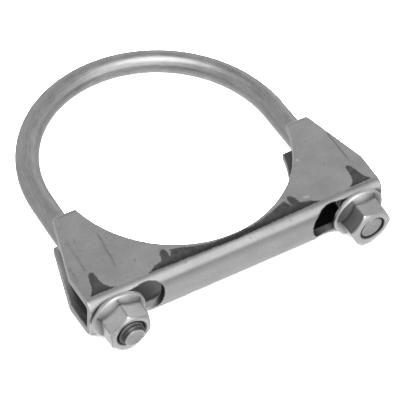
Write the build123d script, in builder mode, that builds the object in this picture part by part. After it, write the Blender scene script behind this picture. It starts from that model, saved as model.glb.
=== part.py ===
"""Exhaust U-bolt clamp: a bent round-bar U-bolt, a stamped saddle and two flange nuts.

Frame: millimetres. The origin is the centre of the saddle's pipe seat. Z runs along the
pipe, Y from the saddle towards the bow of the U-bolt, and X from leg to leg.
"""
import math
import os

from build123d import *

os.makedirs("parts", exist_ok=True)

# ---------------------------------------------------------------- driving dimensions
PIPE_RADIUS = 44.45            # 3.5 inch exhaust pipe
OPEN_GAP = 6.2                 # how far the saddle stands off its closed place

# U-bolt: rolled M10 thread on a drawn bar of the thread's pitch diameter. The threads are
# plain here: each leg is a cylinder over the crests, and each nut's bore clears it.
BAR_RADIUS = 4.45
LEG_X = PIPE_RADIUS + BAR_RADIUS
BOW_Y = OPEN_GAP               # centre of the bow
LEG_END_LEFT = -62.5           # the left leg stands out of its nut
LEG_END_RIGHT = -59.8          # the right leg is level with its nut
THREAD_RADIUS = 4.95
THREAD_LENGTH = 34.5
THREAD_RUNOUT = 1.0            # where the crests fade into the bar
LEG_CHAMFER = 0.8
THREAD_CLEARANCE = 0.05        # between a nut's bore and its leg

# saddle: stamped channel with its flanges cut to the pipe
SHEET = 2.6
WEB_Y = -50.2                  # outer face of the web
WEB_HALF_HEIGHT = 8.5          # half the channel's height at the web
FLANGE_SPREAD = 1.2            # degrees that each flange leans outwards
BEND_RADIUS = 4.0              # outer
HALF_LENGTH = 59.3             # end of the web
KINK = (59.7, -35.4)           # where the ends turn in towards the ears
EAR_TIP_X = 52.6
EAR_Y = -9.35
EAR_CORNER_RADIUS = 1.4

# saddle slots: a round opening beside each leg that narrows to the leg's width
SLOT_BIG_X, SLOT_BIG_RADIUS = 38.2, 8.0
SLOT_SMALL_X, SLOT_SMALL_RADIUS = 48.9, 6.4
SLOT_DEPTH = 4.2

# flange nuts
NUT_SEAT_Y = WEB_Y - 0.05      # a hair off the web, so that the nuts can turn
NUT_HEIGHT = 10.0
NUT_FLATS = 15.0
NUT_FACE_RADIUS = 7.15         # circle where the 30 degree chamfer meets the outer face
FLANGE_RADIUS = 10.25
FLANGE_RIM = 1.7               # thickness at the rim
FLANGE_TOP_RADIUS = 8.0
FLANGE_TOP = 3.3
COUNTERSINK_RADIUS = 5.35
FACE_CONE_MARGIN = 0.2         # the face chamfer's cone starts this far outside the corners
NUT_TURN_LEFT = 37.0           # degrees of the first hexagon corner from +X
NUT_TURN_RIGHT = 57.0

# drawing aids
OVERRUN = 5.0                  # how far construction faces run past the faces that they cut
TOLERANCE = 0.01


def leg_frame(x, end_y):
    """Plane at a leg's end whose Z axis runs up the leg towards the bow."""
    return Plane(origin=(x, end_y, 0), x_dir=(1, 0, 0), z_dir=(0, 1, 0))


# ---------------------------------------------------------------- U-bolt
bar_start = LEG_END_LEFT + THREAD_LENGTH - THREAD_RUNOUT
bar_end = LEG_END_RIGHT + THREAD_LENGTH - THREAD_RUNOUT
with BuildPart() as u_bolt:
    with BuildLine():
        Line((-LEG_X, bar_start), (-LEG_X, BOW_Y))
        CenterArc((0, BOW_Y), LEG_X, 180, -180)
        Line((LEG_X, BOW_Y), (LEG_X, bar_end))
    with BuildSketch(leg_frame(-LEG_X, bar_start)):
        Circle(BAR_RADIUS)
    sweep()
    for leg_x, end_y in ((-LEG_X, LEG_END_LEFT), (LEG_X, LEG_END_RIGHT)):
        with BuildSketch(Plane(origin=(leg_x, end_y, 0))):
            with BuildLine():
                Polyline(
                    (0, 0), (THREAD_RADIUS - LEG_CHAMFER, 0), (THREAD_RADIUS, LEG_CHAMFER),
                    (THREAD_RADIUS, THREAD_LENGTH - THREAD_RUNOUT),
                    (BAR_RADIUS, THREAD_LENGTH), (0, THREAD_LENGTH), close=True,
                )
            make_face()
        revolve(axis=Axis((leg_x, 0, 0), (0, 1, 0)))
u_bolt.part.label = "u_bolt"
export_step(u_bolt.part, "parts/u_bolt.step")

# ---------------------------------------------------------------- saddle
spread_slope = math.tan(math.radians(FLANGE_SPREAD))


def channel_half(inset, open_y):
    """Section of the channel, shrunk by inset, on the plane across X."""
    web = WEB_Y + inset
    half_web = WEB_HALF_HEIGHT - inset / math.cos(math.radians(FLANGE_SPREAD))
    half_web += inset * spread_slope
    half_open = half_web + (open_y - web) * spread_slope
    with BuildSketch(Plane.XY) as section:
        with BuildLine():
            Polyline(
                (web, -half_web), (open_y, -half_open), (open_y, half_open), (web, half_web),
                close=True,
            )
        make_face()
        fillet(section.vertices().group_by(Axis.X)[0], BEND_RADIUS - inset)
    return section.sketch


section_frame = Plane(origin=(-HALF_LENGTH - OVERRUN, 0, 0), x_dir=(0, 1, 0), z_dir=(1, 0, 0))
with BuildPart() as saddle:
    with BuildSketch(section_frame):
        add(channel_half(0, EAR_Y + OVERRUN))
        add(channel_half(SHEET, EAR_Y + 2 * OVERRUN), mode=Mode.SUBTRACT)
    extrude(amount=2 * (HALF_LENGTH + OVERRUN))

    # front outline: ears, kinked ends and the arc that seats the pipe
    with BuildSketch(Plane.XY.offset(-2 * WEB_HALF_HEIGHT)) as outline:
        with BuildLine():
            Polyline(
                (-HALF_LENGTH, WEB_Y - OVERRUN), (-HALF_LENGTH, WEB_Y), (-KINK[0], KINK[1]),
                (-EAR_TIP_X, EAR_Y), (EAR_TIP_X, EAR_Y), (KINK[0], KINK[1]),
                (HALF_LENGTH, WEB_Y), (HALF_LENGTH, WEB_Y - OVERRUN), close=True,
            )
        make_face()
        Circle(PIPE_RADIUS, mode=Mode.SUBTRACT)
        ear_corners = outline.vertices().filter_by_position(
            Axis.Y, EAR_Y - TOLERANCE, EAR_Y + TOLERANCE
        )
        fillet(ear_corners.filter_by(lambda corner: abs(corner.X) > LEG_X), EAR_CORNER_RADIUS)
    extrude(amount=4 * WEB_HALF_HEIGHT, mode=Mode.INTERSECT)

    # slots in the web, open over both bends
    with BuildSketch(Plane.XZ.offset(OVERRUN - WEB_Y)):
        for side in (-1, 1):
            with BuildSketch(mode=Mode.PRIVATE) as slot:
                with Locations((side * SLOT_BIG_X, 0)):
                    Circle(SLOT_BIG_RADIUS)
                with Locations((side * SLOT_SMALL_X, 0)):
                    Circle(SLOT_SMALL_RADIUS)
                make_hull()
            add(slot.sketch)
    extrude(amount=-(SLOT_DEPTH + OVERRUN), mode=Mode.SUBTRACT)
saddle.part.label = "saddle"
export_step(saddle.part, "parts/saddle.step")


# ---------------------------------------------------------------- flange nuts
def flange_nut(x, turn):
    """Hexagon flange nut for the leg at x, drawn with its outer face at Z = 0."""
    bore_radius = THREAD_RADIUS + THREAD_CLEARANCE
    corner_radius = NUT_FLATS / 2 / math.cos(math.radians(30))
    rim_radius = corner_radius + FACE_CONE_MARGIN
    chamfer_drop = (rim_radius - NUT_FACE_RADIUS) * math.tan(math.radians(30))
    sink_depth = (COUNTERSINK_RADIUS - bore_radius) / math.tan(math.radians(60))

    with BuildPart() as nut:
        with BuildSketch(Plane.XY):
            RegularPolygon(corner_radius, 6, rotation=-turn)
        extrude(amount=NUT_HEIGHT)
        with BuildSketch(Plane.XZ):
            with BuildLine():
                Polyline(
                    (0, NUT_HEIGHT), (rim_radius, NUT_HEIGHT), (rim_radius, chamfer_drop),
                    (NUT_FACE_RADIUS, 0), (0, 0), close=True,
                )
            make_face()
        revolve(axis=Axis.Z, mode=Mode.INTERSECT)
        with BuildSketch(Plane.XZ):
            with BuildLine():
                Polyline(
                    (0, NUT_HEIGHT), (FLANGE_RADIUS, NUT_HEIGHT),
                    (FLANGE_RADIUS, NUT_HEIGHT - FLANGE_RIM),
                    (FLANGE_TOP_RADIUS, NUT_HEIGHT - FLANGE_TOP),
                    (0, NUT_HEIGHT - FLANGE_TOP), close=True,
                )
            make_face()
        revolve(axis=Axis.Z)
        with BuildSketch(Plane.XZ):
            with BuildLine():
                Polyline(
                    (0, 0), (COUNTERSINK_RADIUS, 0), (bore_radius, sink_depth),
                    (bore_radius, NUT_HEIGHT - sink_depth), (COUNTERSINK_RADIUS, NUT_HEIGHT),
                    (0, NUT_HEIGHT), close=True,
                )
            make_face()
        revolve(axis=Axis.Z, mode=Mode.SUBTRACT)
    return leg_frame(x, NUT_SEAT_Y - NUT_HEIGHT).location * nut.part


nut_left = flange_nut(-LEG_X, NUT_TURN_LEFT)
nut_left.label = "nut_left"
export_step(nut_left, "parts/nut_left.step")

nut_right = flange_nut(LEG_X, NUT_TURN_RIGHT)
nut_right.label = "nut_right"
export_step(nut_right, "parts/nut_right.step")
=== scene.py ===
"""Exhaust U-bolt clamp: the visual model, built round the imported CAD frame.

Lengths in the mesh code are millimetres in the frame's axes: X from leg to leg, Y from the
saddle to the bow, Z along the pipe. Meshes are scaled to metres when they are made.
"""
import math

import bmesh
import bpy
import numpy as np
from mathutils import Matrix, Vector
from mathutils.geometry import delaunay_2d_cdt


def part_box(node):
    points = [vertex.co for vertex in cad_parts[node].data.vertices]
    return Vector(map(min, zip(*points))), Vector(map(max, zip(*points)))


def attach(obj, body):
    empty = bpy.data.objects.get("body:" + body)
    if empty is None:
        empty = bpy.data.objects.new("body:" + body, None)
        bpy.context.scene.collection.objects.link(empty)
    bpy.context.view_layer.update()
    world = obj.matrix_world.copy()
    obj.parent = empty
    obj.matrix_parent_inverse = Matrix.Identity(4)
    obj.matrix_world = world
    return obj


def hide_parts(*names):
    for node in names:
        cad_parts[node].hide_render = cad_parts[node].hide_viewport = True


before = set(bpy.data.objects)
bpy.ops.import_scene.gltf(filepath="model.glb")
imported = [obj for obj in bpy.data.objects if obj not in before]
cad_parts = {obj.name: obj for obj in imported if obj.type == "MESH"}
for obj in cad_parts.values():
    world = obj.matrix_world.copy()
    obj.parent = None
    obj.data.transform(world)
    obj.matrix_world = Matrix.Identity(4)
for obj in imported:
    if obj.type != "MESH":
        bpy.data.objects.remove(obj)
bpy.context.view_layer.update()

MM = 0.001
TAU = 2 * math.pi


def box_mm(node):
    """Lowest and highest corner of a CAD node, in millimetres."""
    low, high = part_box(node)
    return [c / MM for c in low], [c / MM for c in high]


# ------------------------------------------------------------------ sizes from the frame
bolt_low, bolt_high = box_mm("u_bolt")
saddle_low, saddle_high = box_mm("saddle")
nut_low, nut_high = box_mm("nut_left")
right_nut_low, right_nut_high = box_mm("nut_right")

LEG_X = (right_nut_low[0] + right_nut_high[0]) / 2
BAR_RADIUS = 4.45
BOW_Y = bolt_high[1] - BAR_RADIUS - LEG_X
LEG_END_LEFT = bolt_low[1]
LEG_END_RIGHT = min(
    v.co.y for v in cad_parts["u_bolt"].data.vertices if v.co.x > 0
) / MM
NUT_SEAT_Y = nut_high[1]
NUT_HEIGHT = nut_high[1] - nut_low[1]
FLANGE_RADIUS = (right_nut_high[0] - right_nut_low[0]) / 2
NUT_TURN_LEFT, NUT_TURN_RIGHT = 37.0, 57.0    # degrees of a hexagon corner from +X

# thread: radii of the legs' crests and roots, and of the nuts' grooves and ridges
PITCH = 1.5
THREAD_LENGTH = 34.5
THREAD_CREST, THREAD_ROOT = 4.95, 4.05
NUT_GROOVE, NUT_RIDGE = 5.08, 4.2
CREST_HALF, GROOVE_HALF = 0.11, 0.165         # half the width of a crest's or groove's flat
FLANK = 1 / math.tan(math.radians(30))        # a flank's change of radius in a millimetre up
THREAD_ROUND = 0.12                           # rounding of the roots and of the end's chamfer
THREAD_STEP = PITCH / 9                       # between the rings of a thread

# saddle sheet
SHEET = 2.6
WEB_Y = saddle_low[1]
WEB_HALF = 8.5
SPREAD = math.radians(1.2)
BEND = 4.0
HALF_LENGTH = 59.3
KINK = (59.7, -35.4)
EAR_TIP_X = 52.6
EAR_Y = saddle_high[1]
KINK_ROUND, EAR_ROUND, SEAT_CORNER_ROUND = 3.0, 1.4, 0.5
PIPE_RADIUS = 44.45
RIM = 0.28                                    # rounding of every cut edge
# half of a slot's rim on the flat blank: across the web, wide beside the leg, narrow round it
SLOT_RIM = [
    (30.2, 0.0), (30.35, 2.0), (30.9, 4.0), (32.0, 5.9), (33.6, 7.4), (35.8, 8.4), (38.2, 8.7),
    (40.6, 8.35), (44.0, 7.7), (47.5, 6.95), (50.4, 6.3), (53.0, 4.8), (54.7, 2.5), (55.3, 0.0),
]


def smooth_min(a, b, k):
    """Smaller of a and b, rounded over where they come within k of each other."""
    share = np.clip(0.5 + 0.5 * (b - a) / k, 0, 1)
    return b + (a - b) * share - k * share * (1 - share)


def smooth_max(a, b, k):
    return -smooth_min(-a, -b, k)


def smooth_step(low, high, value):
    """0 at low and 1 at high, eased at both. low may be the larger one."""
    share = np.clip((value - low) / (high - low), 0, 1)
    return share * share * (3 - 2 * share)


def near(distance, width, peak=1.0):
    """peak where the distance is 0, falling by 1 for each width away, and kept within 0..1."""
    return np.clip(peak - np.abs(distance) / width, 0, 1)


# ------------------------------------------------------------------ materials
def grey(value):
    return (value, value, value, 1.0)


class Nodes:
    """Builds the node tree of one material or world."""

    def __init__(self, owner):
        self.owner = owner
        owner.use_nodes = True
        self.tree = owner.node_tree
        self.tree.nodes.clear()

    def add(self, kind, settings=None, **inputs):
        """New node, with its properties from settings and its named sockets from inputs."""
        node = self.tree.nodes.new(kind)
        for key, value in (settings or {}).items():
            setattr(node, key, value)
        for key, value in inputs.items():
            self.feed(node, key.replace("_", " "), value)
        return node

    def feed(self, node, key, value):
        """Links or sets one socket, given by its name or number."""
        socket = node.inputs[key]
        if isinstance(value, bpy.types.NodeSocket):
            self.tree.links.new(value, socket)
        else:
            socket.default_value = value

    def attribute(self, name, output="Fac"):
        return self.add("ShaderNodeAttribute", {"attribute_name": name}).outputs[output]

    def math(self, operation, a, b):
        node = self.add("ShaderNodeMath", {"operation": operation})
        self.feed(node, 0, a)
        self.feed(node, 1, b)
        return node.outputs[0]

    def spread(self, value, low, high, to_low=0.0, to_high=1.0):
        """Value from low..high mapped to to_low..to_high, clamped."""
        node = self.add("ShaderNodeMapRange")
        for key, entry in enumerate((value, low, high, to_low, to_high)):
            self.feed(node, key, entry)
        return node.outputs[0]

    def noise(self, vector, scale, detail=4.0, rough=0.55):
        node = self.add(
            "ShaderNodeTexNoise", Vector=vector, Scale=scale, Detail=detail, Roughness=rough
        )
        return node.outputs[0]

    def blend(self, share, a, b):
        """Colour a turning to b as the share goes from 0 to 1."""
        node = self.add("ShaderNodeMix", {"data_type": "RGBA"})
        for key, entry in ((0, share), (6, a), (7, b)):
            self.feed(node, key, entry)
        return node.outputs[2]

    def coat(self, colour, mask, share, tone):
        """The colour with a grey laid over it where the mask is 1, by the share."""
        return self.blend(self.math("MULTIPLY", mask, share), colour, grey(tone))


def press_marks(n, place, tone, colour, roughness):
    """The sheet's colour and roughness, with its press marks and creases painted dark, and its
    specks added.
    """
    wobble = n.math("SUBTRACT", n.noise(place, scale=900.0, detail=4.0, rough=0.7), 0.5)
    # painted reflection: the press marks are painted dark, and darker towards the bend, for the
    # darker reflection of their sunk slopes
    gap = n.math("ADD", n.attribute("press_mark"), n.math("MULTIPLY", wobble, 1.1))
    pressed = n.spread(gap, 0.20, -0.25)
    patch = n.spread(n.noise(place, scale=650.0, detail=3.0, rough=0.6), 0.3, 0.7, 0.055, 0.13)
    dark = n.add("ShaderNodeCombineColor", Red=patch, Green=patch, Blue=patch).outputs[0]
    colour = n.blend(n.math("MULTIPLY", pressed, 0.92), colour, dark)
    bend_side_mark_shade = n.math("MULTIPLY", pressed, n.attribute("bend_side_mark_shade"))
    colour = n.coat(colour, bend_side_mark_shade, share=0.6, tone=0.02)
    roughness = n.math("ADD", roughness, n.math("MULTIPLY", pressed, 0.12))
    # painted shade along the creases
    broken = n.spread(n.noise(place, scale=300.0, detail=2.0), 0.25, 0.45)
    crease_shade_and_specks = n.math("MULTIPLY", n.attribute("crease_shade_and_specks"), broken)
    colour = n.coat(colour, crease_shade_and_specks, share=0.62, tone=tone * 0.3)
    speck = n.spread(n.noise(place, scale=520.0, detail=1.0, rough=0.4), 0.74, 0.78)
    return n.coat(colour, speck, share=0.3, tone=tone * 0.35), roughness


def steel(name, tone, rough, streaks, mottle, bump, edge_wear_and_highlight, marks=False):
    """Satin steel: mottled tone, lengthwise drawing streaks, fine scratches, and bright edges,
    worn and painted as a highlight.

    tone and rough are its plain colour and roughness, and the others are strengths. Three
    attributes of the mesh come in: grain is where the streaks run, shade is painted shade and
    shadow, and bare is bright worn metal and painted highlight.
    """
    n = Nodes(bpy.data.materials.new(name))
    place = n.add("ShaderNodeTexCoord").outputs["Object"]
    grain = n.attribute("grain", "Vector")
    bare_and_highlight = n.attribute("bare_and_highlight")
    shade = n.attribute("shade")
    cloud = n.noise(place, scale=95.0, detail=5.0, rough=0.6)
    fine = n.noise(place, scale=1500.0, detail=3.0, rough=0.6)
    streak = n.noise(grain, scale=1.6, detail=6.0, rough=0.65)
    hair = n.noise(grain, scale=7.0, detail=3.0, rough=0.5)
    scratch = n.spread(n.noise(grain, scale=0.9, detail=8.0, rough=0.75), 0.60, 0.66)
    edge = n.spread(n.add("ShaderNodeNewGeometry").outputs["Pointiness"], 0.53, 0.62)
    edge = n.math("MULTIPLY", edge, n.spread(cloud, 0.2, 0.6, 0.5, 1.0))

    low_tone, high_tone = grey(tone * (1 - 0.16 * mottle)), grey(tone * (1 + 0.10 * mottle))
    colour = n.blend(n.spread(cloud, 0.32, 0.68), low_tone, high_tone)
    colour = n.coat(colour, n.spread(streak, 0.38, 0.68), share=0.30 * streaks, tone=tone * 1.35)
    colour = n.coat(colour, n.spread(hair, 0.60, 0.42), share=0.24 * streaks, tone=tone * 0.45)
    colour = n.coat(colour, scratch, share=0.25, tone=tone * 0.5)
    # the edges are painted bright: partly worn metal, partly a painted highlight
    colour = n.coat(colour, edge, share=edge_wear_and_highlight, tone=min(0.92, tone * 1.6))
    colour = n.coat(colour, n.spread(fine, 0.55, 0.35), share=0.30, tone=tone * 0.72)
    # worn metal and painted highlights are painted bright here, and painted shade and shadow near
    # black
    colour = n.blend(bare_and_highlight, colour, grey(0.93))
    colour = n.blend(shade, colour, n.blend(cloud, grey(0.012), grey(0.05)))

    roughness = n.spread(streak, 0.2, 0.8, rough - 0.06 * streaks, rough + 0.09 * streaks)
    roughness = n.math("ADD", roughness, n.spread(cloud, 0.2, 0.8, -0.04, 0.06))
    for mask, change in ((edge, -0.08), (shade, 0.15), (bare_and_highlight, -0.14)):
        roughness = n.math("ADD", roughness, n.math("MULTIPLY", mask, change))

    drawn, pitted = n.math("MULTIPLY", streak, 0.5 * streaks), n.math("MULTIPLY", fine, 0.35)
    height = n.math("ADD", drawn, pitted)
    height = n.math("SUBTRACT", height, n.math("MULTIPLY", scratch, 0.4))

    if marks:
        colour, roughness = press_marks(n, place, tone, colour, roughness)
    dent = n.add("ShaderNodeBump", Strength=bump, Distance=0.00004, Height=height)
    shader = n.add(
        "ShaderNodeBsdfPrincipled",
        Metallic=1.0, Normal=dent.outputs[0], Base_Color=colour, Roughness=roughness,
    )
    n.add("ShaderNodeOutputMaterial", Surface=shader.outputs[0])
    return n.owner


bar_steel = steel(
    "bar_steel", tone=0.46, rough=0.29, streaks=1.7, mottle=1.1, bump=0.5, edge_wear_and_highlight=0.3
)
sheet_steel = steel(
    "sheet_steel", tone=0.50, rough=0.33, streaks=0.5, mottle=0.75, bump=0.3, edge_wear_and_highlight=0.5, marks=True
)
nut_steel = steel(
    "nut_steel", tone=0.63, rough=0.30, streaks=0.6, mottle=1.3, bump=0.4, edge_wear_and_highlight=0.2
)


# ------------------------------------------------------------------ mesh helpers
def make_piece(name, points, faces, fields, material, node, body):
    """Mesh object from millimetre points, with its point attributes, riding on its body."""
    mesh = bpy.data.meshes.new(name)
    mesh.from_pydata((np.asarray(points) * MM).tolist(), [], faces)
    mesh.update()
    for field, values in fields.items():
        values = np.asarray(values, np.float32)
        kind = "FLOAT_VECTOR" if values.ndim == 2 else "FLOAT"
        attribute = mesh.attributes.new(field, kind, "POINT")
        attribute.data.foreach_set("vector" if values.ndim == 2 else "value", values.ravel())
    mesh.polygons.foreach_set("use_smooth", [True] * len(mesh.polygons))
    mesh.materials.append(material)
    piece = bpy.data.objects.new(name, mesh)
    bpy.context.scene.collection.objects.link(piece)
    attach(piece, body)
    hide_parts(node)
    return piece


def tube_faces(rings, around):
    """Quads that join each ring of points to the next."""
    faces = []
    for ring in range(rings - 1):
        a = ring * around
        b = a + around
        for step in range(around):
            after = (step + 1) % around
            faces.append((a + step, a + after, b + after, b + step))
    return faces


def thread_radius(angle, climb, crest, root, half):
    """Radius of a right-hand thread at an angle about the leg and a distance up it."""
    turn = angle / TAU - climb / PITCH
    offset = np.abs(turn - np.round(turn)) * PITCH
    flat = np.maximum(offset - half, 0)
    return smooth_max(crest - flat * FLANK, root + 0 * flat, THREAD_ROUND)


# ------------------------------------------------------------------ U-bolt
AROUND_BAR = 72
BAR_GRAIN = 26.0                              # millimetres along the bar for one of grain
RIGHT_LEG_GRAIN = 9.0                         # keeps its streaks unlike the left leg's
END_FACE_RADII = (0.02, 1.2, 2.2, 2.9, 3.25, 3.6)
END_DISH = 0.12
BOW_STEPS, LEG_STEPS = 121, 14
bar_angles = np.arange(AROUND_BAR) / AROUND_BAR * TAU


def leg_rings(side, end_y, chamfer, taper, painted_patch_shade):
    """Rings up one leg from its end face to where the plain bar starts: points, grain, shade.

    The chamfer is how far the end's crests are cut back, and it fades at the taper's slope.
    The last argument is the strength of a painted shade on the crests in the mouth of the nut.
    """
    # angle of each point in the leg's own frame, whose second axis is -Z
    own = np.arctan2(-np.sin(bar_angles), side * np.cos(bar_angles))
    rings = []
    for radius in END_FACE_RADII:
        dish = END_DISH * (1 - smooth_step(2.0, 3.3, radius))
        rings.append((np.full(AROUND_BAR, radius), end_y + dish))
    climbs = np.concatenate([[0.0, 0.08, 0.2], np.arange(0.34, THREAD_LENGTH + 0.6, THREAD_STEP)])
    for climb in climbs:
        radius = thread_radius(own, climb, THREAD_CREST, THREAD_ROOT, CREST_HALF)
        fade = smooth_step(THREAD_LENGTH - 2.2 * PITCH, THREAD_LENGTH, climb)
        radius = radius + (BAR_RADIUS - radius) * fade
        cut = np.full(AROUND_BAR, THREAD_CREST - chamfer + climb * taper)
        rings.append((smooth_min(radius, cut, THREAD_ROUND), end_y + climb))

    points, grain, shade = [], [], []
    for radius, y in rings:
        climb = y - end_y
        threaded = 0.25 < climb < THREAD_LENGTH - 2 * PITCH
        chamfered = 0.05 < climb < chamfer / taper
        patch_shade_here = painted_patch_shade * smooth_step(0.9, 1.5, climb) * smooth_step(3.4, 2.6, climb)
        for k in range(AROUND_BAR):
            c, s = math.cos(bar_angles[k]), math.sin(bar_angles[k])
            points.append((side * LEG_X + side * c * radius[k], y, s * radius[k]))
            grain.append((c * BAR_RADIUS, s * BAR_RADIUS, y / BAR_GRAIN))
            # painted shade: the thread's roots and the end's chamfer darkened as recesses, and the
            # crests in the nut's mouth
            root = 1 - (radius[k] - THREAD_ROOT) / (THREAD_CREST - THREAD_ROOT)
            if threaded:
                painted_darkening = 0.85 * min(max(root, 0), 1) ** 0.6
            else:
                painted_darkening = 0.45 * (chamfered and radius[k] > END_FACE_RADII[-1] - 0.2)
            shade.append(max(painted_darkening, patch_shade_here))
    shape = (-1, AROUND_BAR, 3)
    return np.array(points).reshape(shape), np.array(grain).reshape(shape), np.array(shade)


def plain_bar():
    """Rings of the plain bar, up the left leg, round the bow and down the right leg."""
    left_start = LEG_END_LEFT + THREAD_LENGTH + 1
    right_start = LEG_END_RIGHT + THREAD_LENGTH + 1
    # the spine's points, each with the direction out of the bow
    spine = [(-LEG_X, y, -1.0, 0.0) for y in np.linspace(left_start, BOW_Y, LEG_STEPS)[:-1]]
    for angle in np.linspace(math.pi, 0, BOW_STEPS):
        c, s = math.cos(angle), math.sin(angle)
        spine.append((LEG_X * c, BOW_Y + LEG_X * s, c, s))
    spine += [(LEG_X, y, 1.0, 0.0) for y in np.linspace(BOW_Y, right_start, LEG_STEPS)[1:]]
    length = 0.0
    points, grain = [], []
    for index, (x, y, out_x, out_y) in enumerate(spine):
        if index:
            length += math.hypot(x - spine[index - 1][0], y - spine[index - 1][1])
        for k in range(AROUND_BAR):
            c, s = BAR_RADIUS * math.cos(bar_angles[k]), BAR_RADIUS * math.sin(bar_angles[k])
            points.append((x + out_x * c, y + out_y * c, s))
            grain.append((c, s, (left_start + length) / BAR_GRAIN))
    shape = (-1, AROUND_BAR, 3)
    return np.array(points).reshape(shape), np.array(grain).reshape(shape)


# the left leg stands out of its nut, and its tip is tapered and painted dark with shade in the
# nut's mouth
left_points, left_grain, left_shade = leg_rings(-1, LEG_END_LEFT, 1.35, 0.6, 0.6)
right_points, right_grain, right_shade = leg_rings(1, LEG_END_RIGHT, 0.55, 1.0, 0.0)
bar_points, bar_grain = plain_bar()
right_grain[..., 2] += RIGHT_LEG_GRAIN
bolt_points = np.concatenate([left_points, bar_points, right_points[::-1]])
bolt_grain = np.concatenate([left_grain, bar_grain, right_grain[::-1]])
bolt_shade = np.concatenate([
    left_shade, np.zeros(bar_points.size // 3), right_shade.reshape(-1, AROUND_BAR)[::-1].ravel()
])
bolt_faces = tube_faces(len(bolt_points), AROUND_BAR)
last = (len(bolt_points) - 1) * AROUND_BAR
bolt_faces.append(tuple(range(AROUND_BAR - 1, -1, -1)))
bolt_faces.append(tuple(range(last, last + AROUND_BAR)))
make_piece(
    "u_bolt_bar", bolt_points.reshape(-1, 3), bolt_faces,
    {"grain": bolt_grain.reshape(-1, 3), "shade": bolt_shade},
    bar_steel, "u_bolt", "u_bolt",
)


# ------------------------------------------------------------------ flange nuts
# heights are from the bearing face, which sits on the saddle, to the outer face
AROUND_NUT = 216
HALF_FLATS = 7.5
HEX_ROUND = 0.22                              # rounding of the hexagon's corners
FACE_RADIUS = 7.05                            # where the face's chamfer ends
FACE_ROUND = 0.2                              # rounding round the outer face
CHAMFER_ROUND = 0.16
RIM_ROUND = 0.3                               # rounding of the flange's lower edge
CONE_FROM = 1.15                              # height where the flange's cone leaves its rim
CONE_SLOPE = 1.32                             # radius lost for each millimetre up
CONE_ROUND = 0.35
HEX_FROM = 1.6                                # the hexagon is joined to the flange above this
HEX_FILLET = 0.55
SINK_SLOPE = 1.732                            # the same, going into a countersink
BEARING_RADII = (5.7, 7.0, 9.6)
NUT_GRAIN = (1.3, 1.1, 0.35)                  # for a millimetre of radius and height, and a radian


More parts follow.
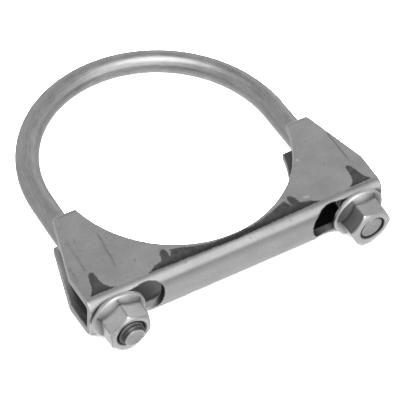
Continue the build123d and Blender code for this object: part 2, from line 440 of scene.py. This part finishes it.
def flange_nut(name, centre_x, leg_end_y, turn, sink, painted_darkening, node):
    """Hexagon flange nut as one closed skin: flange, hexagon, face, countersinks and thread.

    The turn is the degrees of a corner from +X, the sink is the countersinks' radius, and
    the last argument is the strength of a painted shade on the one facet that looks away from the
    light.
    """
    beta = np.arange(AROUND_NUT) / AROUND_NUT * TAU
    hexagon = np.full(AROUND_NUT, 20.0)
    for k in range(6):
        facing = np.cos(beta - math.radians(turn + 30 + 60 * k))
        hexagon = smooth_min(hexagon, HALF_FLATS / np.maximum(facing, 0.2), HEX_ROUND)

    # degrees from the nearest corner, and what is painted by angle
    corner_gap = np.abs((np.degrees(beta) - turn + 30) % 60 - 30)
    at_corner = near(corner_gap, 3.0)
    glinting = np.where(np.cos(beta - math.radians(turn + 60)) > 0.98, 1.0, 0.35)
    glint = near(corner_gap, 3.6, peak=1.4) * glinting
    painted_patch_shade = painted_darkening * np.clip((np.cos(beta - math.radians(turn + 90)) - 0.86) / 0.03, 0, 1)
    rings = []

    def ring(radius, height, shade=0.0, bare_and_highlight=0.0):
        around = (AROUND_NUT,)
        rings.append([np.broadcast_to(value, around) for value in (radius, height, shade, bare_and_highlight)])

    for radius in (sink, *BEARING_RADII):
        ring(radius, 0.0)
    heights = np.concatenate([
        [0.0, 0.02, 0.07, 0.15, 0.25],
        np.arange(0.4, NUT_HEIGHT - 0.3, 0.14),
        NUT_HEIGHT - np.array([0.28, 0.2, 0.13, 0.07, 0.03, 0.008, 0.0]),
    ])
    for height in heights:
        below = max(RIM_ROUND - height, 0)
        rim = FLANGE_RADIUS - RIM_ROUND + math.sqrt(max(RIM_ROUND ** 2 - below ** 2, 0))
        cone = FLANGE_RADIUS - (height - CONE_FROM) * CONE_SLOPE
        flange = smooth_min(np.full(AROUND_NUT, rim), np.full(AROUND_NUT, cone), CONE_ROUND)
        cut = FACE_RADIUS + (NUT_HEIGHT - height) * FLANK
        body = smooth_min(hexagon, np.full(AROUND_NUT, cut), CHAMFER_ROUND)
        above_flange = height > HEX_FROM
        radius = smooth_max(body, flange, HEX_FILLET) if above_flange else flange
        above = max(height - (NUT_HEIGHT - FACE_ROUND), 0)
        inset = FACE_ROUND - math.sqrt(max(FACE_ROUND ** 2 - above ** 2, 0))
        radius = np.minimum(radius, FLANGE_RADIUS) - inset
        if above_flange:
            # painted shade at the foot of the hexagon and along the chamfer's lower edge, dark
            # down the corners, painted shade on one facet, and a painted glint at the corners
            foot = 0.25 * (height < 3.4) + 0.5 * near(body - flange, 1.8)
            line = 0.40 * near(hexagon - cut, 0.45)
            ridge = 0.45 * at_corner * np.clip((cut - hexagon) / 0.8, 0, 1)
            patch_shade_here = painted_patch_shade * np.clip((cut - hexagon) / 0.5, 0, 1)
            painted_glint = glint * near(hexagon - cut, 0.45, peak=1.4)
            shade = np.clip(foot + line + ridge + patch_shade_here, 0, 0.8) * (1 - painted_glint)
            ring(radius, height, shade, painted_glint)
        else:
            ring(radius, height)
    edge = rings[-1][0]
    for share in (0.12, 0.5, 0.9):
        ring(edge + (sink - edge) * share, NUT_HEIGHT)
    # the countersinks' walls and the bore are painted dark as shade
    for height in np.arange(NUT_HEIGHT, -0.01, -THREAD_STEP):
        climb = NUT_SEAT_Y - height - leg_end_y
        bore = thread_radius(-beta, climb, NUT_GROOVE, NUT_RIDGE, GROOVE_HALF)
        countersunk = sink - min(NUT_HEIGHT - height, height) * SINK_SLOPE
        inward = smooth_step(0.0, 0.35, NUT_HEIGHT - height)
        ring(np.maximum(bore, countersunk), height, 0.6 + 0.4 * inward)

    points, grain, shades, bare_and_highlight_list = [], [], [], []
    for radius, height, shade, bare_and_highlight in rings:
        for k in range(AROUND_NUT):
            c, s = math.cos(beta[k]), math.sin(beta[k])
            points.append((centre_x + c * radius[k], NUT_SEAT_Y - height[k], s * radius[k]))
            # turning marks run round the nut
            places = (radius[k], height[k], beta[k])
            grain.append([place * scale for place, scale in zip(places, NUT_GRAIN)])
            shades.append(shade[k])
            bare_and_highlight_list.append(bare_and_highlight[k])
    faces = tube_faces(len(rings), AROUND_NUT)
    top = (len(rings) - 1) * AROUND_NUT
    for k in range(AROUND_NUT):
        after = (k + 1) % AROUND_NUT
        faces.append((top + k, top + after, after, k))
    fields = {"grain": grain, "shade": shades, "bare_and_highlight": bare_and_highlight_list}
    make_piece(name, points, faces, fields, nut_steel, node, node)


flange_nut("nut_left_flanged", -LEG_X, LEG_END_LEFT, NUT_TURN_LEFT, 5.85, 0.0, "nut_left")
flange_nut("nut_right_flanged", LEG_X, LEG_END_RIGHT, NUT_TURN_RIGHT, 5.2, 0.6, "nut_right")


# ------------------------------------------------------------------ saddle: the flat blank
# The blank is laid flat with x along the clamp and s across it, s = 0 on the web's middle.
# Only the quarter with x and s above 0 is made, then folded and mirrored.
bend_turn = math.pi / 2 - SPREAD
tangent = BEND / math.tan((math.pi - bend_turn) / 2)
WEB_FLAT = WEB_HALF - tangent                 # s where the bend starts
FLANGE_S = WEB_FLAT + BEND * bend_turn        # s where the bend ends


def s_of(y):
    """Blank coordinate of a height y on the flange."""
    return FLANGE_S + (y - WEB_Y) / math.cos(SPREAD) - tangent


def fold(x, s, depth):
    """Point of the folded sheet, depth millimetres under its outer skin. Arrays, s >= 0."""
    bend_angle = np.clip((s - WEB_FLAT) / BEND, 0, bend_turn)
    up = np.maximum(s - FLANGE_S, 0)
    along_web = np.minimum(s, WEB_FLAT)
    y = WEB_Y + BEND - BEND * np.cos(bend_angle) + up * math.cos(SPREAD)
    z = along_web + BEND * np.sin(bend_angle) + up * math.sin(SPREAD)
    y = y + depth * np.cos(bend_angle)
    z = z - depth * np.sin(bend_angle)
    return np.stack([x, y, z], -1)


def rounded(corners, radii, step=0.45, arc_step=0.25):
    """Polyline through the corners, each rounded by its radius and sampled about every step."""
    path = [corners[0]]
    for index in range(1, len(corners) - 1):
        a, b, c = (np.array(corners[index + k], float) for k in (-1, 0, 1))
        radius = radii[index]
        back, ahead = (a - b) / np.linalg.norm(a - b), (c - b) / np.linalg.norm(c - b)
        if radius <= 0:
            path.append(tuple(b))
            continue
        half = math.acos(np.clip(np.dot(back, ahead), -1, 1)) / 2
        reach = radius / math.tan(half)
        centre = b + (back + ahead) / np.linalg.norm(back + ahead) * radius / math.sin(half)
        start, end = b + back * reach - centre, b + ahead * reach - centre
        sweep = math.pi - 2 * half
        sign = 1 if start[0] * end[1] - start[1] * end[0] > 0 else -1
        pieces = max(3, int(math.ceil(radius * sweep / arc_step)))
        for k in range(pieces + 1):
            t = sign * sweep * k / pieces
            cos_t, sin_t = math.cos(t), math.sin(t)
            turned = (start[0] * cos_t - start[1] * sin_t, start[0] * sin_t + start[1] * cos_t)
            path.append(tuple(centre + np.array(turned)))
    path.append(corners[-1])
    fine = [path[0]]
    for a, b in zip(path, path[1:]):
        pieces = max(1, int(round(math.dist(a, b) / step)))
        for k in range(1, pieces + 1):
            fine.append((a[0] + (b[0] - a[0]) * k / pieces, a[1] + (b[1] - a[1]) * k / pieces))
    return np.array(fine)


def smooth_through(places, pieces=6):
    """Catmull-Rom curve through the places, mirrored at both ends so that it leaves squarely."""
    places = np.array(places, float)
    before, after = places[1] * (1, -1), places[-2] * (1, -1)
    knots = np.vstack([before, places, after])
    path = []
    for k in range(1, len(knots) - 2):
        p0, p1, p2, p3 = knots[k - 1:k + 3]
        for step in range(pieces):
            t = step / pieces
            path.append(0.5 * (
                2 * p1 + (p2 - p0) * t + (2 * p0 - 5 * p1 + 4 * p2 - p3) * t * t
                + (3 * p1 - p0 - 3 * p2 + p3) * t ** 3
            ))
    path.append(places[-1])
    return [tuple(place) for place in path]


def right_normals(path, first, last):
    """Unit normals to the right of the path, with the first and last one given."""
    normals = []
    for index in range(len(path)):
        a = path[max(index - 1, 0)]
        b = path[min(index + 1, len(path) - 1)]
        direction = (b - a) / np.linalg.norm(b - a)
        normals.append((direction[1], -direction[0]))
    normals[0], normals[-1] = first, last
    return np.array(normals)


# the slot's rim, from its inner end round to its outer end
slot_path = smooth_through(SLOT_RIM)
slot_path = rounded(slot_path, [0] * len(slot_path))
slot_normals = -right_normals(slot_path, (-1, 0), (1, 0))

# the outer edge: end, kink, ear and the arc that seats the pipe
arc_from = math.atan2(EAR_Y, math.sqrt(PIPE_RADIUS ** 2 - EAR_Y ** 2))
arc = [
    (PIPE_RADIUS * math.cos(t), s_of(PIPE_RADIUS * math.sin(t)))
    for t in np.linspace(arc_from, -math.pi / 2, 90)
]
ends = [
    (HALF_LENGTH, 0.0), (HALF_LENGTH, s_of(WEB_Y)), (KINK[0], s_of(KINK[1])),
    (EAR_TIP_X, s_of(EAR_Y)),
]
end_radii = [0, 0, KINK_ROUND, EAR_ROUND]
edge_path = rounded(ends + arc, end_radii + [SEAT_CORNER_ROUND] + [0] * (len(arc) - 1))
edge_normals = right_normals(edge_path, (1, 0), (0, 1))


def clear_of(points, path, gap):
    """Which points keep at least gap from every sample of the path."""
    keep = np.ones(len(points), bool)
    for place in path:
        keep &= ((points - place) ** 2).sum(1) > gap * gap
    return keep


def inside(points, polygon):
    """Which points are inside the polygon."""
    x, y = points[:, 0], points[:, 1]
    hit = np.zeros(len(points), bool)
    for (x0, y0), (x1, y1) in zip(polygon, np.roll(polygon, -1, 0)):
        crossed = (y0 > y) != (y1 > y)
        slope = (x1 - x0) / ((y1 - y0) if abs(y1 - y0) > 1e-12 else 1e-12)
        hit ^= crossed & (x < x0 + (y - y0) * slope)
    return hit


# the blank's grid, triangulated between its outlines
GRID = 0.62
LINE_GAP = 0.3                                # kept from an outline's ends on a centre line
OUTLINE_GAP = 0.34                            # kept from the outline by the grid's points
slot_rim = slot_path - slot_normals * RIM
edge_rim = edge_path - edge_normals * RIM
rows = np.concatenate([
    np.linspace(0, WEB_FLAT, 7)[:-1],
    np.linspace(WEB_FLAT, FLANGE_S, 17)[:-1],
    np.arange(FLANGE_S, s_of(EAR_Y), GRID),
])
columns = np.arange(0, HALF_LENGTH, GRID)
web_inner = [(x, 0.0) for x in columns if x < slot_rim[0][0] - LINE_GAP]
web_outer = [
    (x, 0.0) for x in columns if slot_rim[-1][0] + LINE_GAP < x < edge_rim[0][0] - LINE_GAP
]
middle = [(0.0, s) for s in rows if 0 < s < edge_rim[-1][1] - 0.25]
loop = np.array(
    web_inner + [tuple(p) for p in slot_rim] + web_outer + [tuple(p) for p in edge_rim]
    + middle[::-1]
)
grid = np.array([(x, s) for s in rows[1:] for x in columns[1:]])
grid = grid[inside(grid, loop)]
grid = grid[clear_of(grid, loop, OUTLINE_GAP)]
flat_points = [Vector(p) for p in np.concatenate([loop, grid])]
loop_edges = [(k, (k + 1) % len(loop)) for k in range(len(loop))]
found = delaunay_2d_cdt(flat_points, loop_edges, [], 1, 1e-7)
blank = np.array([tuple(v) for v in found[0]])
triangles = [tuple(f) for f in found[2]]
centres = np.array([blank[list(f)].mean(0) for f in triangles])
triangles = [f for f, ok in zip(triangles, inside(centres, loop)) if ok]

# ------------------------------------------------------------------ saddle: marks and painted shade
# press marks, sunk a little and painted dark as the darker reflection of their sunk slopes:
# outlines as (|x|, y) on the flange
STAR = [
    (57.0, -45.9), (55.2, -43.6), (54.4, -40.6), (53.6, -37.7), (52.4, -36.5), (51.3, -37.2),
    (51.1, -40.8), (50.5, -43.1), (49.2, -44.9), (46.8, -46.2), (52.0, -46.0),
]
FINGER = [
    (34.9, -46.3), (31.0, -44.2), (28.0, -43.5), (27.6, -40.9), (26.4, -39.3), (25.1, -39.3),
    (24.5, -41.0), (24.7, -42.9), (24.4, -45.0), (24.6, -46.6),
]
BAND = [
    (23.4, -40.4), (20.0, -41.4), (16.5, -42.6), (12.0, -43.9), (8.0, -44.7), (0.0, -45.15),
    (-3.0, -45.2), (-3.0, -47.3), (0.0, -47.3), (10.0, -47.0), (18.0, -46.7), (25.4, -46.6),
    (25.0, -44.0), (23.9, -42.0),
]
PRESS_DEPTH = 0.16
FAR_GAP = 50.0                                # a gap that stands for no mark nearby
# faint lines that the press left along the legs, painted dark as the shade of their folds: x, y at
# both ends, strength
CREASES = [
    (54.62, -20.5, 54.52, -35.6, 1.0), (-53.0, -20.0, -53.2, -35.3, 0.7),
    (-42.0, -23.0, -43.2, -38.0, 0.9), (-57.6, -32.0, -58.0, -38.5, 0.6),
    (-43.6, -10.4, -51.0, -10.3, 0.5), (43.6, -10.4, 51.0, -10.3, 0.3),
    (45.0, -46.9, 57.0, -46.7, 0.7),
]
# small dark specks by the bend and bright chips on the flange, as x, s on the blank
SPECKS = [(30.3, 9.3), (13.4, 8.0), (21.1, 8.4), (-21.1, 9.1), (4.2, 8.2), (-13.0, 9.6)]
CHIPS = [(30.7, 14.7), (31.8, 14.5), (37.8, 30.8)]
SPECK_RADIUS, CHIP_RADIUS = 0.55, 0.75


def signed_gap(points, outline):
    """Distance from each point to the outline, negative inside it."""
    outline = np.array(outline)
    nearest = np.full(len(points), 1e9)
    for a, b in zip(outline, np.roll(outline, -1, 0)):
        side = b - a
        share = np.clip(((points - a) @ side) / (side @ side), 0, 1)
        nearest = np.minimum(nearest, np.linalg.norm(points - a - share[:, None] * side, axis=1))
    return np.where(inside(points, outline), -nearest, nearest)


def press_gap(flat):
    """Distance to the nearest press mark for blank points with x >= 0, negative inside."""
    gap = np.full(len(flat), FAR_GAP)
    for outline in (STAR, FINGER, BAND):
        shifted = [(x, s_of(y)) for x, y in outline]
        gap = np.minimum(gap, signed_gap(flat, shifted))
    return gap


def creases_at(x, s):
    """Strength of the creases at blank points."""
    flat = np.stack([x, s], -1)
    crease_shade_and_specks = np.zeros(len(flat))
    for x0, y0, x1, y1, strength in CREASES:
        line = signed_gap(flat, [(x0, s_of(y0)), (x1, s_of(y1)), (x1 + 0.01, s_of(y1) + 0.01)])
        crease_shade_and_specks = np.maximum(crease_shade_and_specks, strength * (1 - smooth_step(0.05, 0.55, np.abs(line))))
    return crease_shade_and_specks


def spots_at(places, x, s, radius):
    """Soft round spots at the places of a list, 1 at their centres."""
    spots = np.zeros(len(x))
    for place_x, place_s in places:
        spots = np.maximum(spots, smooth_step(radius, 0.1, np.hypot(x - place_x, s - place_s)))
    return spots


def edge_gap(flat, edge):
    """Distance of blank points to the nearest of an edge's points."""
    return np.sqrt(((flat[:, None, :] - edge[None, :, :]) ** 2).sum(2)).min(1)


def bend_shade(s, folded):
    """Painted shade on the outer skin: darker lines along both sides of the bend, and the shadow
    of the nut's flange.
    """
    lower = smooth_step(0.8, WEB_FLAT, s) * smooth_step(WEB_FLAT + 2.2, WEB_FLAT, s)
    upper = smooth_step(FLANGE_S - 2.6, FLANGE_S - 1.2, s)
    upper = upper * smooth_step(FLANGE_S + 0.3, FLANGE_S - 0.6, s)
    from_nut = np.hypot(folded[:, 0] - LEG_X, folded[:, 2]) - FLANGE_RADIUS
    beside_nut = smooth_step(1.3, 0.1, from_nut) * smooth_step(1.1, 0.2, folded[:, 1] - WEB_Y)
    return np.maximum(0.22 * lower + 0.30 * upper, 0.75 * beside_nut)


# ------------------------------------------------------------------ saddle: folded quarter
RIM_ANGLES = np.radians([30, 60, 90])
# the slots' cut faces are painted dark as shade, the outer edge's cut faces a little, and the rims
# painted bright as a highlight
SLOT_CUT_SHADE, EDGE_CUT_SHADE = 0.66, 0.12
RIM_HIGHLIGHT = 0.4
points, flats, faces = [], [], []
gaps, shades, painted_bend_shades, bare_and_highlight_list = [], [], [], []


def put(flat, depth, bare_and_highlight, shade):
    """Adds blank points at a depth under the outer skin, and gives the first one's index.

    The press marks sink both skins, and are dark only on the outer one and its rim.
    """
    first = sum(len(p) for p in points)
    gap = press_gap(flat)
    sunk = PRESS_DEPTH * smooth_step(0.5, -0.9, gap)
    folded = fold(flat[:, 0], flat[:, 1], depth + sunk)
    outside = depth < RIM
    points.append(folded)
    flats.append(flat)
    gaps.append(gap if outside else np.full(len(flat), FAR_GAP))
    painted_bend_shades.append(bend_shade(flat[:, 1], folded) * outside)
    shades.append(np.broadcast_to(shade, (len(flat),)))
    bare_and_highlight_list.append(np.broadcast_to(bare_and_highlight, (len(flat),)))
    return first


# the inner skin is painted dark with shade towards its ends, and painted lighter along a margin by
# the outside that light reaches
at_side = edge_path[:, 0] > EAR_TIP_X - 0.5
side_gap = edge_gap(blank, edge_path[at_side])
seat_gap = edge_gap(blank, edge_path[~at_side])
opened = np.maximum(smooth_step(9.0, 1.0, seat_gap), smooth_step(36.0, 26.0, blank[:, 0]))
inner_shade = 0.9 * smooth_step(1.4, 3.2, side_gap) * (1 - 0.45 * opened)
inner_margin_light = 0.8 * smooth_step(3.0, 1.0, side_gap)
outer = put(blank, 0.0, 0.0, 0.0)
inner = put(blank, SHEET, inner_margin_light, inner_shade)
faces += [tuple(outer + k for k in f) for f in triangles]
faces += [tuple(inner + k for k in reversed(f)) for f in triangles]

# cut faces: inset from the path and depth of each chain of points, with rounded rims
outer_rim = [(RIM * (1 - math.sin(a)), RIM * (1 - math.cos(a))) for a in RIM_ANGLES]
inner_rim = [(inset, SHEET - depth) for inset, depth in reversed(outer_rim)]
slot_start = len(web_inner)
edge_start = len(web_inner) + len(slot_path) + len(web_outer)
for path, normals, start, cut_shade in (
    (slot_path, slot_normals, slot_start, SLOT_CUT_SHADE),
    (edge_path, edge_normals, edge_start, EDGE_CUT_SHADE),
):
    chains = [outer + start]
    for inset, depth in outer_rim + [(0.0, SHEET / 2)] + inner_rim:
        on_rim = depth < 0.9 * RIM
        shade = 0.0 if on_rim else cut_shade
        chains.append(put(path - normals * inset, depth, RIM_HIGHLIGHT * on_rim, shade))
    chains.append(inner + start)
    for one, two in zip(chains, chains[1:]):
        for k in range(len(path) - 1):
            faces.append((one + k, two + k, two + k + 1, one + k + 1))

# ------------------------------------------------------------------ saddle: whole
GRAIN_X = 16.0                                # millimetres along x for one of grain
GRAIN_SHIFT = 2.0                             # between the grains of the quarters
quarter = np.concatenate(points)
gap, shade = np.concatenate(gaps), np.concatenate(shades)
painted_bend_shade, bare_and_highlight = np.concatenate(painted_bend_shades), np.concatenate(bare_and_highlight_list)
flat_x, flat_s = np.concatenate(flats).T
light = shade < 0.3                           # not the dark skin inside or the slots' cut
all_points, all_faces = [], []
fields = {name: [] for name in ("press_mark", "crease_shade_and_specks", "shade", "grain", "bare_and_highlight", "bend_side_mark_shade")}
for part, (mirror_x, mirror_z) in enumerate(((1, 1), (-1, 1), (1, -1), (-1, -1))):
    x = flat_x * mirror_x
    # what only the top shows
    top = mirror_z > 0
    crease_shade_and_specks = np.maximum(creases_at(x, flat_s) * light, spots_at(SPECKS, x, flat_s, SPECK_RADIUS))
    chips = spots_at(CHIPS, x, flat_s, CHIP_RADIUS) * light
    # painted shade, darker on the right half
    side_shade = shade * (0.8 + 0.35 * smooth_step(-14, 14, x))
    fields["press_mark"].append(gap)
    fields["crease_shade_and_specks"].append(crease_shade_and_specks * top)
    fields["shade"].append(np.maximum(side_shade, painted_bend_shade * top))
    fields["grain"].append(
        np.stack([x / GRAIN_X, flat_s * mirror_z, np.full(len(x), GRAIN_SHIFT * part)], -1)
    )
    fields["bare_and_highlight"].append(np.maximum(bare_and_highlight, chips * top))
    fields["bend_side_mark_shade"].append(smooth_step(FLANGE_S + 2.4, FLANGE_S, flat_s))
    all_points.append(quarter * (mirror_x, 1, mirror_z))
    first = part * len(quarter)
    flip = mirror_x * mirror_z < 0
    all_faces += [tuple(first + k for k in (reversed(f) if flip else f)) for f in faces]
saddle = make_piece(
    "saddle_sheet", np.concatenate(all_points), all_faces,
    {name: np.concatenate(parts) for name, parts in fields.items()},
    sheet_steel, "saddle", "saddle",
)
welded = bmesh.new()
welded.from_mesh(saddle.data)
bmesh.ops.remove_doubles(welded, verts=welded.verts, dist=2e-6)
bmesh.ops.recalc_face_normals(welded, faces=welded.faces)
welded.to_mesh(saddle.data)
welded.free()

# ------------------------------------------------------------------ floor, light, camera
FLOOR_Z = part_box("nut_left")[0][2] - 0.0002
FLOOR_REACH = 3.0
floor_nodes = Nodes(bpy.data.materials.new("pale_floor"))
floor_place = floor_nodes.add("ShaderNodeTexCoord").outputs["Object"]
floor_tone = floor_nodes.blend(floor_nodes.noise(floor_place, scale=3.0), grey(0.86), grey(0.89))
floor_shader = floor_nodes.add("ShaderNodeBsdfPrincipled", Roughness=0.9, Base_Color=floor_tone)
floor_nodes.add("ShaderNodeOutputMaterial", Surface=floor_shader.outputs[0])
floor_mesh = bpy.data.meshes.new("floor")
floor_mesh.from_pydata(
    [
        (x * FLOOR_REACH, y * FLOOR_REACH, FLOOR_Z)
        for x, y in ((-1, -1), (1, -1), (1, 1), (-1, 1))
    ],
    [], [(0, 1, 2, 3)],
)
floor_mesh.materials.append(floor_nodes.owner)
floor = bpy.data.objects.new("floor", floor_mesh)
bpy.context.scene.collection.objects.link(floor)
floor.visible_glossy = False

# studio: a soft dome, as brightness at each height of the direction, with broad panels, as
# direction, brightness, and the cosines where each panel starts and is full
DOME = (
    (-1.0, 1.28), (-0.75, 1.08), (-0.45, 0.74), (0.0, 0.78), (0.35, 0.86), (0.55, 0.78),
    (0.76, 0.67), (1.0, 0.62),
)
PANELS = [
    ((0.00, -0.88, 0.47), 1.05, 0.60, 0.97),
    ((-0.12, -0.30, 0.95), 3.00, 0.875, 0.985),
    ((0.85, 0.50, 0.20), 0.15, 0.75, 0.98),
]
world = bpy.data.worlds.new("studio")
bpy.context.scene.world = world
sky = Nodes(world)
direction = sky.add("ShaderNodeTexCoord").outputs["Generated"]
height = sky.add("ShaderNodeSeparateXYZ", Vector=direction).outputs[2]
brightness = DOME[0][1]
for (low, low_light), (high, high_light) in zip(DOME, DOME[1:]):
    brightness = sky.math(
        "ADD", sky.spread(height, low, high, 0.0, high_light - low_light), brightness
    )
for towards, strength, start, full in PANELS:
    dot = sky.add("ShaderNodeVectorMath", {"operation": "DOT_PRODUCT"})
    sky.feed(dot, 0, direction)
    sky.feed(dot, 1, tuple(Vector(towards).normalized()))
    panel = sky.spread(dot.outputs["Value"], start, full, 0.0, strength)
    brightness = sky.math("ADD", brightness, panel)
background = sky.add("ShaderNodeBackground", Strength=brightness)
sky.add("ShaderNodeOutputWorld", Surface=background.outputs[0])

# one large panel overhead lights the floor; the metal reflects the dome instead
lamp = bpy.data.lights.new("overhead", "AREA")
lamp.shape = "SQUARE"
lamp.size = 1.6
lamp.energy = 220.0
overhead = bpy.data.objects.new("overhead", lamp)
overhead.location = (-0.2, 0.1, 1.2)
overhead.visible_glossy = False
bpy.context.scene.collection.objects.link(overhead)

# the camera at the photograph's angle: its place in metres and its turn in degrees
CAMERA_PLACE = (-0.235332, -0.382116, 0.491573)
CAMERA_TURN = (41.3179, -2.4639, -30.3559)
camera_data = bpy.data.cameras.new("camera")
camera_data.sensor_width = 36.0
camera_data.lens = 164.219
camera_data.clip_start = 0.01
camera_data.clip_end = 20.0
camera = bpy.data.objects.new("camera", camera_data)
camera.location = CAMERA_PLACE
camera.rotation_euler = [math.radians(a) for a in CAMERA_TURN]
bpy.context.scene.collection.objects.link(camera)
bpy.context.scene.camera = camera
bpy.context.scene.view_settings.view_transform = "Standard"
